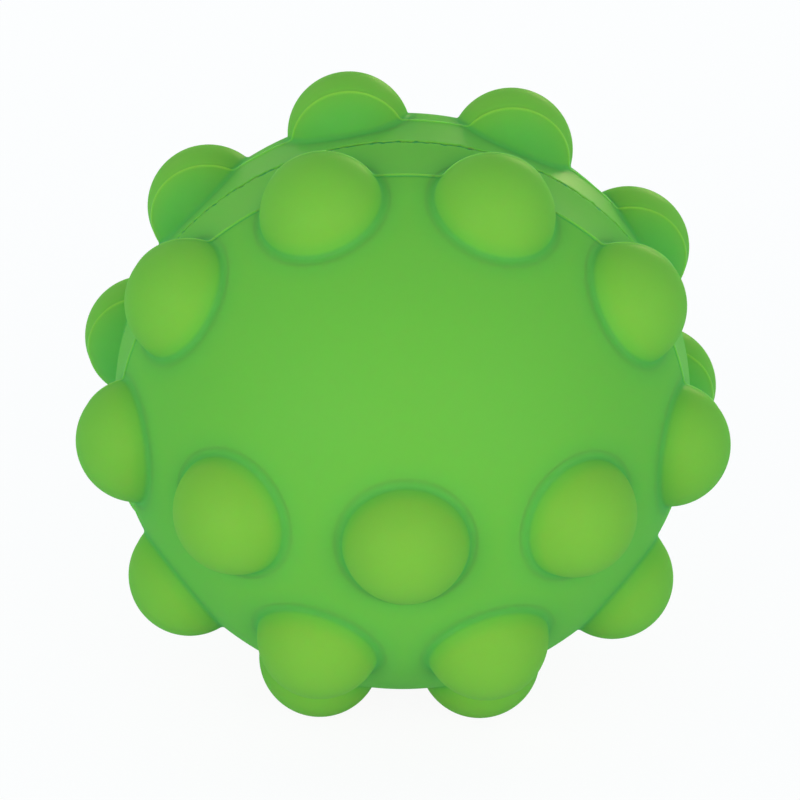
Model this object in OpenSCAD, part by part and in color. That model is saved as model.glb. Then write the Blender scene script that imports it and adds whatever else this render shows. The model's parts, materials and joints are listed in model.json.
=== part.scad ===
// Hollow silicone sensory ball with bumps that press in.
// Two like half shells are bonded at the equator. Their poles lie on one axis, the pole axis.
// The ball's centre is the origin and +Z is up. The front half's pole looks along -Y.
// The ball rests on three bumps, two of the front half and one of the rear half.

/* [Ball] */
// Radius of the smooth skin between the bumps
skin_r = 36; // [33:0.5:42]
// Thickness of a half shell's wall
wall = 2.2; // [1.6:0.1:3]
// Turn of the rear half about the pole axis, in degrees
rear_turn = 5.7; // [0:0.1:10]

/* [Bumps] */
// Radius of a bump's round crown
bump_r = 7.66; // [6.6:0.02:8]
// Height of a bump's crown above the skin
bump_rise = 6; // [5:0.1:6.6]
// Thickness of a bump's wall
bump_wall = 1.2; // [0.8:0.1:2]
// Free gap between a bump and the hole that it sinks into
bump_gap = 0.3; // [0.2:0.05:0.5]
// Latitude of the inner ring of bumps above the equator, in degrees
inner_lat = 54; // [52:1:56]
// Latitude of the outer ring of bumps above the equator, in degrees
outer_lat = 18; // [17:1:19]

/* [Bonded seam] */
// Thickness of the bond between the two halves, along the pole axis
bond_t = 0.3; // [0.1:0.05:0.6]
// How far the bond's bead stands proud of the skin
bond_rise = 0.1; // [0.05:0.05:0.4]
// Height of each half's glued rim above the bond
rim_h = 1.8; // [1:0.1:2.2]
// How far the glued rim stands in from the wall
rim_depth = 1.2; // [0.6:0.1:2]

/* [Mould line] */
// Height of a half's mould line above the equator
line_h = 7.6; // [6.5:0.1:8.5]
// Width of the raised mould line
line_w = 0.3; // [0.2:0.05:0.6]
// Height of the mould line above the surface that it crosses
line_rise = 0.12; // [0.05:0.01:0.15]

/* [Hidden] */
// Places in the inner ring. Two of them are left bare, and make the smooth panel.
inner_places = 6;
bare_count = 2;
// Places in the outer ring, all of them with a bump
outer_places = 10;
// Degrees in a full turn and in a quarter turn
full_turn = 360;
quarter_turn = full_turn / 4;
// Smoothness of round surfaces
round_fn = 96;
// How far a cutting body runs past the solid that it cuts
overrun = 1;

inner_r = skin_r - wall;
rim_r = inner_r - rim_depth;
bump_centre = skin_r + bump_rise - bump_r;
hole_r = bump_r + bump_gap;
// A hole is cut from this distance outwards, just inside the glued rim, where no two holes meet
hole_start = bump_centre - bump_rise;

// A bump's place is its name, its latitude and its azimuth.
// Azimuth 0 is the middle of the smooth panel, and it grows clockwise as seen from outside the pole.
inner_step = full_turn / inner_places;
outer_step = full_turn / outer_places;
first_inner = bare_count / 2 + 0.5;
pole_place = ["pole", quarter_turn, 0];
half_places = concat(
    [pole_place],
    [for (i = [0:inner_places - bare_count - 1])
        [str("inner_", i + 1), inner_lat, (first_inner + i) * inner_step]],
    [for (i = [0:outer_places - 1])
        [str("outer_", i + 1), outer_lat, (0.5 + i) * outer_step]]
);

// The ball rests on the two lowest bumps of the front half's outer ring and on the lowest of the rear's.
// Each is held here as its height and its distance in front of the seam, on a ball of radius 1.
// The plane that touches them sets how far the front pole tips down.
low_azimuth = full_turn / 2 - outer_step / 2;
low_front = [cos(outer_lat) * cos(low_azimuth), sin(outer_lat)];
low_rear = [cos(outer_lat) * cos(low_azimuth + rear_turn), -sin(outer_lat)];
rest_tip = atan2(low_front[0] - low_rear[0], low_front[1] - low_rear[1]);

shell_colour = [0.42, 0.75, 0.27];
bump_colour = [0.50, 0.78, 0.26];
bond_colour = [0.55, 0.80, 0.40];

// Turns the pole axis, which is +Z in a half's own frame, to its place on the resting ball
module at_rest() {
    rotate([quarter_turn + rest_tip, 0, 0]) children();
}

// Turns a half over to the rear
module as_rear() {
    rotate([0, 0, -rear_turn]) rotate([0, full_turn / 2, 0]) children();
}

// Carries a bump's shape from +Z to its place on a half
module at_bump(place) {
    rotate([0, 0, -place[2]]) rotate([place[1] - quarter_turn, 0, 0]) children();
}

// The flat layer that holds the raised mould line
module line_layer() {
    translate([0, 0, line_h - line_w / 2])
        cylinder(r = skin_r + bump_rise + overrun, h = line_w, $fn = round_fn);
}

// The space inside a half: round above the glued rim, straight through it
module half_hollow() {
    intersection() {
        sphere(r = inner_r, $fn = round_fn);
        translate([0, 0, bond_t / 2 + rim_h])
            cylinder(r = skin_r, h = skin_r, $fn = round_fn);
    }
    translate([0, 0, -overrun])
        cylinder(r = rim_r, h = overrun + bond_t / 2 + rim_h, $fn = round_fn);
}

// A hole that a bump sinks into, straight along the bump's own axis
module bump_hole(place) {
    at_bump(place) translate([0, 0, hole_start])
        cylinder(r = hole_r, h = skin_r + overrun - hole_start, $fn = round_fn);
}

// One half shell in its own frame, pole up
module half_shell() {
    difference() {
        union() {
            sphere(r = skin_r, $fn = round_fn);
            intersection() {
                sphere(r = skin_r + line_rise, $fn = round_fn);
                line_layer();
            }
        }
        translate([0, 0, bond_t / 2 - 2 * skin_r])
            cylinder(r = 2 * skin_r, h = 2 * skin_r, $fn = round_fn);
        half_hollow();
        for (place = half_places) bump_hole(place);
    }
}

// One hollow bump in its half's frame. The mould line runs over the bumps of the outer ring.
module bump_shell(place) {
    difference() {
        union() {
            at_bump(place) translate([0, 0, bump_centre]) sphere(r = bump_r, $fn = round_fn);
            intersection() {
                at_bump(place) translate([0, 0, bump_centre])
                    sphere(r = bump_r + line_rise, $fn = round_fn);
                line_layer();
            }
        }
        at_bump(place) translate([0, 0, bump_centre])
            sphere(r = bump_r - bump_wall, $fn = round_fn);
        at_bump(place) translate([0, 0, bump_centre - 2 * bump_r])
            cylinder(r = 2 * bump_r, h = 2 * bump_r, $fn = round_fn);
    }
}

module front_half() {
    color(shell_colour) at_rest() half_shell();
}

module rear_half() {
    color(shell_colour) at_rest() as_rear() half_shell();
}

module seam_bond() {
    color(bond_colour) at_rest()
        translate([0, 0, -bond_t / 2]) difference() {
            cylinder(r = skin_r + bond_rise, h = bond_t, $fn = round_fn);
            translate([0, 0, -overrun])
                cylinder(r = rim_r, h = bond_t + 2 * overrun, $fn = round_fn);
        }
}

module front_bump(place) {
    color(bump_colour) at_rest() bump_shell(place);
}

module rear_bump(place) {
    color(bump_colour) at_rest() as_rear() bump_shell(place);
}

front_half();
rear_half();
seam_bond();
for (place = half_places) {
    front_bump(place);
    rear_bump(place);
}
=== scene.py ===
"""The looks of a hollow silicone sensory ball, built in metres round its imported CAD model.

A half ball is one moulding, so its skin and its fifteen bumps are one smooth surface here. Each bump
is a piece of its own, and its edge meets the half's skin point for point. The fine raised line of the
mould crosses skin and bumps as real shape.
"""
from __future__ import annotations

import json
import logging
import math
from dataclasses import dataclass, field, replace
from enum import Enum

import bpy
import numpy as np
from mathutils import Matrix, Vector
from mathutils.geometry import delaunay_2d_cdt


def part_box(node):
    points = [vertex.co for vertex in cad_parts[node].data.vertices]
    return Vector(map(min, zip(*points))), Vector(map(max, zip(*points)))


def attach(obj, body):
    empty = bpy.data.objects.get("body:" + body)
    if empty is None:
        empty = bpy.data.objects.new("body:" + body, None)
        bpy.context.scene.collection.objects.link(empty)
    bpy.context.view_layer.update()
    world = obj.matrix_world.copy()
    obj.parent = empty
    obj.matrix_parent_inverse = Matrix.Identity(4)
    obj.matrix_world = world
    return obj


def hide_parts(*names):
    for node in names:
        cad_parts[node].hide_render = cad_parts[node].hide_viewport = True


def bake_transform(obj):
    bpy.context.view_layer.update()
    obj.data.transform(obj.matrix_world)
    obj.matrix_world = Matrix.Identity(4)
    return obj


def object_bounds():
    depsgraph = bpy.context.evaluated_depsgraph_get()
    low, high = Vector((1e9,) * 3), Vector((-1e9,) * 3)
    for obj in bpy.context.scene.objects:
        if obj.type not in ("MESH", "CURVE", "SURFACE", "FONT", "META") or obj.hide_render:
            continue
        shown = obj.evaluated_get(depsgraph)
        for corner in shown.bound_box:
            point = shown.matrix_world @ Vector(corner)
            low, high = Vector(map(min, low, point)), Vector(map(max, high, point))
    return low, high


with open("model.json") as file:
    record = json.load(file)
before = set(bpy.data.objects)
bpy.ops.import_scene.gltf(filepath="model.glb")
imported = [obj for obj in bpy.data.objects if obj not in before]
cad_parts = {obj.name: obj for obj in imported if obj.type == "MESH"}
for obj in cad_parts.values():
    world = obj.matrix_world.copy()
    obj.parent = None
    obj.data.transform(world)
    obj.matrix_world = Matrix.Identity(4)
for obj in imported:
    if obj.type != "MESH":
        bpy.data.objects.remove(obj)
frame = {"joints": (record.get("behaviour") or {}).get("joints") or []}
cad_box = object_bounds()

LOG = logging.getLogger("sensory_ball")
MM = 0.001
GOLDEN_ANGLE = math.pi * (3 - math.sqrt(5))
# The room that each point of a honeycomb takes, at a pitch of 1
HONEYCOMB_ROOM = 0.866
# Points of the plane that are closer than this are one
SAME_POINT = 1e-9
# A bump whose axis has more than this share along the pole axis is the pole's own
POLE_SHARE = 0.999

# A colour, and the two values between which something sets in or fades
Rgb = tuple[float, float, float]
Span = tuple[float, float]

# Point attributes that the finishes read. Both are in millimetres.
# The way along the surface from the middle of the nearest bump's root, positive up the bump
ROOT_MM = "root_mm"
# The height above the bonded seam, along the pole axis
SEAM_MM = "seam_mm"
# The value of ROOT_MM where no bump is near
FAR_FROM_ROOT = -9.0


class HalfSide(Enum):
    """The two half balls, by the first word of their nodes' names."""

    FRONT = "front"
    REAR = "rear"


class Slot(Enum):
    """The record's material slots."""

    SHELL = "shell_silicone"
    BUMP = "bump_silicone"
    BOND = "bond_adhesive"


# ---------------------------------------------------------------------------------------------
# Measures


def outward_axis(body: str) -> np.ndarray:
    """The unit vector along which a bump stands out, against the axis of its press joint.

    Args:
        body: The bump's body.

    Returns:
        The outward axis in the frame of the whole ball.
    """
    joint = next(j for j in frame["joints"] if j["child"] == body)
    axis = -np.array(joint["axis"], float)
    return axis / np.linalg.norm(axis)


def unit(v: np.ndarray) -> np.ndarray:
    """v, or each row of v, at length 1."""
    return v / np.linalg.norm(v, axis=-1, keepdims=True)


def wave(turn: np.ndarray, rng: np.random.Generator, counts: tuple[int, ...]) -> np.ndarray:
    """The mean, at each turn f round a ring, of the sines sin(n f + q) over the counts n, q being random."""
    phases = rng.uniform(0, 2 * math.pi, len(counts))
    return sum(np.sin(n * turn + q) for n, q in zip(counts, phases)) / len(counts)


@dataclass(frozen=True)
class BallSizes:
    """Sizes that every piece shares, in metres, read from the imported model.

    Fields:
        skin_r: Radius of the smooth skin.
        bump_r: Radius of a bump's crown.
        bump_centre: Distance of a crown's centre from the ball's.
        lowest: Height of the floor that the ball rests on.
    """

    skin_r: float
    bump_r: float
    bump_centre: float
    lowest: float

    @classmethod
    def read(cls) -> BallSizes:
        """Reads the sizes from the boxes of the front half and of its pole bump.

        Returns:
            The sizes.
        """
        half_low, half_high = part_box("front_half")
        pole_low, pole_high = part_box("front_bump_pole")
        axis = outward_axis("front_bump_pole")
        bump_r = (pole_high.x - pole_low.x) / 2
        return cls(
            skin_r=(half_high.x - half_low.x) / 2,
            bump_r=bump_r,
            bump_centre=(abs(pole_low.y) - bump_r) / abs(axis[1]),
            lowest=cad_box[0].z,
        )


@dataclass(frozen=True)
class MouldLine:
    """The fine raised line that the mould leaves round a half, level with the seam.

    Fields:
        height: Height above the seam.
        half_width: Where the line has fallen to a third of its rise.
        rise: Height of its crest above the surface.
        groove: Depth of the fine hollow on its pole side.
        groove_off: Where the hollow is deepest, in half widths from the line.
        flat: How far the surface between the seam and the line is flattened, midway.
        rows: Heights, from the line's own, at which the surface has a row of points.
        pitch: Distance between the points of a row.
        clear: Distance from the line up to which the surface has no points but those of the rows.
    """

    height: float = 7.6 * MM
    half_width: float = 0.13 * MM
    rise: float = 0.15 * MM
    groove: float = 0.07 * MM
    groove_off: float = 2.2
    flat: float = 0.3 * MM
    rows: tuple[float, ...] = tuple(
        MM * d for d in (-0.42, -0.28, -0.19, -0.13, -0.065, 0.0, 0.065, 0.13, 0.19, 0.27, 0.36, 0.5)
    )
    pitch: float = 0.3 * MM
    clear: float = 0.62 * MM

    def lift(self, height: np.ndarray) -> np.ndarray:
        """How far the line and the flat strip below it move the surface outwards.

        The lift is rise e^-d^2 - groove e^-(d - groove_off)^2 - 4 flat t (1 - t). d is the height over
        the line's in half widths, and t the height's share of the line's, up to 1.

        Args:
            height: Heights above the seam.

        Returns:
            The lift at each.
        """
        d = (height - self.height) / self.half_width
        t = np.clip(height / self.height, 0, 1)
        ridge = self.rise * np.exp(-(d**2)) - self.groove * np.exp(-((d - self.groove_off) ** 2))
        return ridge - 4 * self.flat * t * (1 - t)

    def beside(self, height: np.ndarray) -> np.ndarray:
        """True where only the line's own rows may have points."""
        return np.abs(height - self.height) < self.clear


@dataclass(frozen=True)
class BumpProfile:
    """A bump's outline from its tip to its edge on the skin, by the way s along it.

    The slope angle b runs from 0 at the tip. The crown is an arc of radius bump_r about the crown's
    centre, the root a hollow arc of radius root_r, and the flange an arc of the skin about the ball's
    centre. The surface's normal is (sin b, cos b) all the way.

    Fields:
        sizes: The ball's sizes.
        root_r: Radius of the root's hollow.
        flange_angle: The angle at the ball's centre between the bump's axis and its edge.
    """

    sizes: BallSizes
    root_r: float = 0.62 * MM
    flange_angle: float = math.radians(13.7)

    @property
    def root_centre(self) -> tuple[float, float]:
        """The root arc's centre, which is root_r off both crown and skin.

        Returns:
            Its distance from the bump's axis, and its height along it from the ball's centre.
        """
        skin, crown, centre = self.sizes.skin_r, self.sizes.bump_r, self.sizes.bump_centre
        high = ((skin + self.root_r) ** 2 - (crown + self.root_r) ** 2 + centre**2) / (2 * centre)
        return math.sqrt((skin + self.root_r) ** 2 - high**2), high

    @property
    def crown_end(self) -> float:
        """The slope angle at which the crown turns into the root."""
        across, high = self.root_centre
        return math.atan2(across, high - self.sizes.bump_centre)

    @property
    def skin_start(self) -> float:
        """The slope angle at which the root turns into the skin."""
        across, high = self.root_centre
        return math.atan2(across, high)

    @property
    def crown_length(self) -> float:
        """The way from the tip to the root."""
        return self.sizes.bump_r * self.crown_end

    @property
    def root_length(self) -> float:
        """The way across the root."""
        return self.root_r * (self.crown_end - self.skin_start)

    @property
    def length(self) -> float:
        """The way from the tip to the flange's edge."""
        return self.crown_length + self.root_length + self.sizes.skin_r * (self.flange_angle - self.skin_start)

    @property
    def root_middle(self) -> float:
        """The way from the tip to the middle of the root."""
        return self.crown_length + self.root_length / 2

    def at(self, s: np.ndarray) -> tuple[np.ndarray, np.ndarray, np.ndarray]:
        """Radius, height and slope angle at the ways s.

        Args:
            s: Ways along the outline from the tip.

        Returns:
            Distance from the bump's axis, height along it from the ball's centre, and slope angle.
        """
        past_crown = s - self.crown_length
        past_root = past_crown - self.root_length
        zones = [past_crown < 0, past_root < 0]
        slope = np.select(
            zones,
            [s / self.sizes.bump_r, self.crown_end - past_crown / self.root_r],
            self.skin_start + past_root / self.sizes.skin_r,
        )
        across, high = self.root_centre
        r = np.select(
            zones,
            [self.sizes.bump_r * np.sin(slope), across - self.root_r * np.sin(slope)],
            self.sizes.skin_r * np.sin(slope),
        )
        z = np.select(
            zones,
            [self.sizes.bump_centre + self.sizes.bump_r * np.cos(slope), high - self.root_r * np.cos(slope)],
            self.sizes.skin_r * np.cos(slope),
        )
        return r, z, slope


# ---------------------------------------------------------------------------------------------
# Meshes


@dataclass
class Surface:
    """Points and triangles of an open surface, with what the finishes read at each point.

    Fields:
        points: n by 3 places.
        triangles: m by 3 point numbers, turning left seen from outside.
        loops: The point numbers of each open edge, in order.
        root_mm: The ROOT_MM attribute.
        seam_mm: The SEAM_MM attribute.
    """

    points: np.ndarray
    triangles: np.ndarray
    loops: list[np.ndarray]
    root_mm: np.ndarray
    seam_mm: np.ndarray


def loop_edges(loop: np.ndarray) -> np.ndarray:
    """The pairs of neighbours round a closed loop of point numbers."""
    return np.stack([loop, np.roll(loop, -1)], axis=1)


def triangulate(flat: np.ndarray, loops: list[np.ndarray], holes: list[np.ndarray]) -> np.ndarray:
    """Triangles over flat points that keep to the loops' edges and leave the holes open.

    A triangle with its three corners on one hole's loop lies in the hole, because the loops are convex
    and no points lie inside them.

    Args:
        flat: n by 2 points of the plane.
        loops: Closed loops of point numbers whose edges have to stay.
        holes: The loops whose insides are open.

    Returns:
        m by 3 point numbers.
    """
    edges = np.concatenate([loop_edges(loop) for loop in loops])
    # The 0 asks for triangles over the points' whole outline
    _, _, faces, origin, _, _ = delaunay_2d_cdt(flat.tolist(), edges.tolist(), [], 0, SAME_POINT, True)
    source = np.array([ids[0] for ids in origin])
    triangles = source[np.array(faces)]
    owner = np.full(len(flat), -1)
    for number, hole in enumerate(holes):
        owner[hole] = number
    corner = owner[triangles]
    inside = (corner[:, 0] >= 0) & (corner[:, 0] == corner[:, 1]) & (corner[:, 0] == corner[:, 2])
    return triangles[~inside]


def face_outwards(points: np.ndarray, triangles: np.ndarray, centre: np.ndarray) -> np.ndarray:
    """Turns each triangle so that its normal points away from a centre.

    Args:
        points: n by 3 places.
        triangles: m by 3 point numbers.
        centre: The place inside the surface.

    Returns:
        The triangles, with the wrong ones turned over.
    """
    a, b, c = (points[triangles[:, k]] for k in range(3))
    normal = np.cross(b - a, c - a)
    inwards = np.einsum("ij,ij->i", normal, (a + b + c) / 3 - centre) < 0
    turned = triangles.copy()
    turned[inwards] = turned[inwards][:, ::-1]
    return turned


def put_mesh(
    name: str,
    points: np.ndarray,
    faces: np.ndarray,
    values: dict[str, np.ndarray],
    sharp_loops: list[np.ndarray],
) -> bpy.types.Object:
    """Makes an object of a mesh with smooth faces, number attributes and sharp loops.

    Args:
        name: The piece's name.
        points: n by 3 places in the frame of the whole ball.
        faces: m by 3 or m by 4 point numbers.
        values: Point attributes by name.
        sharp_loops: Closed loops of point numbers along which the shading breaks.

    Returns:
        The object, at the origin.
    """
    mesh = bpy.data.meshes.new(name)
    mesh.from_pydata(points.tolist(), [], faces.tolist())
    mesh.polygons.foreach_set("use_smooth", np.ones(len(mesh.polygons), bool))
    for attribute, numbers in values.items():
        layer = mesh.attributes.new(attribute, "FLOAT", "POINT")
        layer.data.foreach_set("value", numbers.astype(np.float32))
    if sharp_loops:
        ends = np.empty(2 * len(mesh.edges), np.int64)
        mesh.edges.foreach_get("vertices", ends)
        wanted = np.sort(np.concatenate([loop_edges(loop) for loop in sharp_loops]), axis=1)
        ends = np.sort(ends.reshape(-1, 2), axis=1)
        count = len(points)
        sharp = np.isin(ends[:, 0] * count + ends[:, 1], wanted[:, 0] * count + wanted[:, 1])
        mesh.edges.foreach_set("use_edge_sharp", sharp)
    mesh.update()
    piece = bpy.data.objects.new(name, mesh)
    bpy.context.scene.collection.objects.link(piece)
    return piece


def close_with_wall(
    surface: Surface, inner: np.ndarray
) -> tuple[np.ndarray, np.ndarray, dict[str, np.ndarray], list[np.ndarray]]:
    """Gives an open surface an inner side and edges, so that it is a closed wall.

    Args:
        surface: The outer side.
        inner: The inner place of each outer point.

    Returns:
        Points, triangles, attributes and the loops where outer and inner side meet the edges.
    """
    count = len(surface.points)
    parts = [surface.triangles, surface.triangles[:, ::-1] + count]
    for loop in surface.loops:
        ring = loop_edges(loop)
        parts += [
            np.stack([ring[:, 1], ring[:, 0], ring[:, 0] + count], axis=1),
            np.stack([ring[:, 1], ring[:, 0] + count, ring[:, 1] + count], axis=1),
        ]
    values = {
        ROOT_MM: np.tile(surface.root_mm, 2),
        SEAM_MM: np.tile(surface.seam_mm, 2),
    }
    loops = [shifted for loop in surface.loops for shifted in (loop, loop + count)]
    return np.concatenate([surface.points, inner]), np.concatenate(parts), values, loops


def left_round(triangles: np.ndarray, loop: np.ndarray) -> np.ndarray:
    """The loop, in the order in which the surface's own triangles run along it.

    Args:
        triangles: The surface's triangles.
        loop: A closed loop on its edge, in either order.

    Returns:
        The loop, turned about if the triangles run along it the other way.
    """
    count = int(triangles.max()) + 1
    runs = np.concatenate([triangles[:, [0, 1]], triangles[:, [1, 2]], triangles[:, [2, 0]]])
    found = np.isin(loop[0] * count + loop[1], runs[:, 0] * count + runs[:, 1])
    return loop if found else loop[::-1]


# ---------------------------------------------------------------------------------------------
# Shapes of the ball


@dataclass
class PointList:
    """Points that are gathered part by part, and that keep their numbers.

    Fields:
        parts: The parts so far.
    """

    parts: list[np.ndarray] = field(default_factory=list)

    def add(self, points: np.ndarray) -> np.ndarray:
        """Adds a part.

        Args:
            points: n by 3 places.

        Returns:
            Their numbers.
        """
        start = sum(len(part) for part in self.parts)
        self.parts.append(points)
        return np.arange(start, start + len(points))


@dataclass(frozen=True)
class BumpSeat:
    """One bump's place on its half.

    Fields:
        name: The bump's node and body.
        axis: Its outward axis in the half's own frame, whose third axis is the pole's.
        lined: Whether the mould line crosses it.
    """

    name: str
    axis: np.ndarray
    lined: bool

    @property
    def turn(self) -> np.ndarray:
        """The bump's own frame: its side, the way towards the pole, and outwards.

        Returns:
            Those three as the columns of a matrix, in the half's frame.
        """
        pole = np.array([0.0, 0.0, 1.0]) if abs(self.axis[2]) < POLE_SHARE else np.array([0.0, 1.0, 0.0])
        up = unit(pole - self.axis * (pole @ self.axis))
        return np.stack([np.cross(up, self.axis), up, self.axis], axis=1)


@dataclass(frozen=True)
class BumpSkin:
    """The surface of one bump in its own frame, crown, root and flange in one.

    A point has the way s from the tip and the turn p from the pole's side, and lies at
    (r(s) sin p, r(s) cos p, z(s)), moved along the normal by the mould line's lift.

    Fields:
        profile: The bump's outline.
        line: The mould line.
        lined: Whether it crosses the bump.
        pole_height: The share of the bump's axis that lies along the pole axis.
        around: Even points on a ring from the crown's end outwards, and the most on the crown.
        least_around: The fewest points on a ring of the crown.
        crown_pitch: Distance between the crown's points.
        root_rings: Steps across the root.
        flange_rings: Rings on the flange between the root and the last two.
        edge_step: Distance of the last ring but one from the flange's edge.
        least_steps: The fewest steps in which a row of the mould line crosses the crown.
    """

    profile: BumpProfile
    line: MouldLine
    lined: bool
    pole_height: float
    around: int = 96
    least_around: int = 6
    crown_pitch: float = 0.46 * MM
    root_rings: int = 8
    flange_rings: int = 2
    edge_step: float = 0.1 * MM
    least_steps: int = 4

    @property
    def pole_reach(self) -> float:
        """The share of the way towards the pole, along the skin, that lies along the pole axis."""
        return math.sqrt(max(0.0, 1 - self.pole_height**2))

    def seam_height(self, points: np.ndarray) -> np.ndarray:
        """Height above the seam, y cos L + z sin L at latitude L, of points in the bump's frame."""
        return points[:, 1] * self.pole_reach + points[:, 2] * self.pole_height

    def place(self, s: np.ndarray, p: np.ndarray) -> np.ndarray:
        """Points of the surface.

        Args:
            s: Ways from the tip.
            p: Turns from the pole's side.

        Returns:
            n by 3 points in the bump's frame.
        """
        r, z, slope = self.profile.at(s)
        points = np.stack([r * np.sin(p), r * np.cos(p), z], axis=1)
        if not self.lined:
            return points
        normal = np.stack([np.sin(slope) * np.sin(p), np.sin(slope) * np.cos(p), np.cos(slope)], axis=1)
        return points + normal * self.line.lift(self.seam_height(points))[:, None]

    def ring(self, s: float) -> np.ndarray:
        """The turns of the points on the ring at s: even ones, and where the mould line's rows cross it.

        A row at height h crosses at the turns +-acos((h - z sin L) / (r cos L)).

        Args:
            s: The ring's way from the tip.

        Returns:
            The turns, rising from -pi.
        """
        r, z, _ = (float(v[0]) for v in self.profile.at(np.array([s])))
        turns = -math.pi + 2 * math.pi * np.arange(self.around) / self.around
        if not self.lined:
            return turns
        height = r * np.cos(turns) * self.pole_reach + z * self.pole_height
        turns = turns[~self.line.beside(height)]
        share = (self.line.height + np.array(self.line.rows) - z * self.pole_height) / (r * self.pole_reach)
        crossing = np.arccos(share[np.abs(share) < 1])
        return np.sort(np.concatenate([turns, crossing, -crossing]))

    def rim_ways(self) -> np.ndarray:
        """The rings from the crown's end to the flange's edge, all of them crossed by the line's rows.

        Returns:
            Their ways from the tip.
        """
        profile = self.profile
        root = profile.crown_length + profile.root_length * np.linspace(0, 1, self.root_rings + 1)
        flange = np.linspace(root[-1], profile.length, self.flange_rings + 2)[1:-1]
        return np.concatenate([root, flange, [profile.length - self.edge_step, profile.length]])

    def crown_points(self) -> tuple[np.ndarray, np.ndarray]:
        """Even points on the crown, ring by ring, the tip first.

        Returns:
            Ways and turns.
        """
        end = self.profile.crown_length
        ways = np.linspace(0, end, round(end / self.crown_pitch) + 1)[1:-1]
        even = np.round(2 * math.pi * self.profile.at(ways)[0] / self.crown_pitch)
        counts = np.clip(even, self.least_around, self.around).astype(int)
        s = np.concatenate([[0.0], np.repeat(ways, counts)])
        step = np.concatenate([np.arange(n) / n + 0.5 * (k % 2) / n for k, n in enumerate(counts)])
        p = np.concatenate([[0.0], 2 * math.pi * step - math.pi])
        if self.lined:
            r, z, _ = self.profile.at(s)
            height = r * np.cos(p) * self.pole_reach + z * self.pole_height
            keep = ~self.line.beside(height)
            s, p = s[keep], p[keep]
        return s, p

    def crown_rows(self) -> tuple[np.ndarray, np.ndarray]:
        """Ways and turns of the mould line's rows where they cross the crown.

        The plane at height h cuts the crown in a circle about the pole's direction, of radius
        sqrt(bump_r^2 - k^2), k being the plane's height over the crown's centre. Its points are taken
        at even turns f, between those at which it runs into the root.

        Returns:
            Ways and turns.
        """
        sizes, profile = self.profile.sizes, self.profile
        ways, turns = [], []
        for row in self.line.rows:
            k = self.line.height + row - sizes.bump_centre * self.pole_height
            circle = math.sqrt(sizes.bump_r**2 - k**2)
            start = math.asin((sizes.bump_r * math.cos(profile.crown_end) - k * self.pole_height)
                              / (circle * self.pole_reach))
            count = max(self.least_steps, round(circle * (math.pi - 2 * start) / self.line.pitch))
            f = np.linspace(start, math.pi - start, count + 1)[1:-1]
            x = circle * np.cos(f)
            y = k * self.pole_reach - circle * np.sin(f) * self.pole_height
            z = k * self.pole_height + circle * np.sin(f) * self.pole_reach
            ways.append(sizes.bump_r * np.arccos(z / sizes.bump_r))
            turns.append(np.arctan2(x, y))
        return np.concatenate(ways), np.concatenate(turns)

    def build(self) -> Surface:
        """Lays out the bump's points by s and p in the plane and joins them there.

        Returns:
            The bump's surface, its open edge as its only loop.
        """
        s, p = self.crown_points()
        parts = [(s, p)]
        if self.lined:
            parts.append(self.crown_rows())
        for way in self.rim_ways():
            turns = self.ring(way)
            parts.append((np.full(len(turns), way), turns))
        s = np.concatenate([part[0] for part in parts])
        p = np.concatenate([part[1] for part in parts])
        edge = np.arange(len(s) - len(parts[-1][0]), len(s))
        points = self.place(s, p)
        flat = np.stack([s * np.sin(p), s * np.cos(p)], axis=1) / self.profile.length
        triangles = triangulate(flat, [edge], [])
        centre = np.array([0.0, 0.0, self.profile.sizes.bump_centre - self.profile.sizes.bump_r])
        triangles = face_outwards(points, triangles, centre)
        return Surface(
            points=points,
            triangles=triangles,
            loops=[left_round(triangles, edge)],
            root_mm=(self.profile.root_middle - s) / MM,
            seam_mm=self.seam_height(points) / MM,
        )


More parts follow.
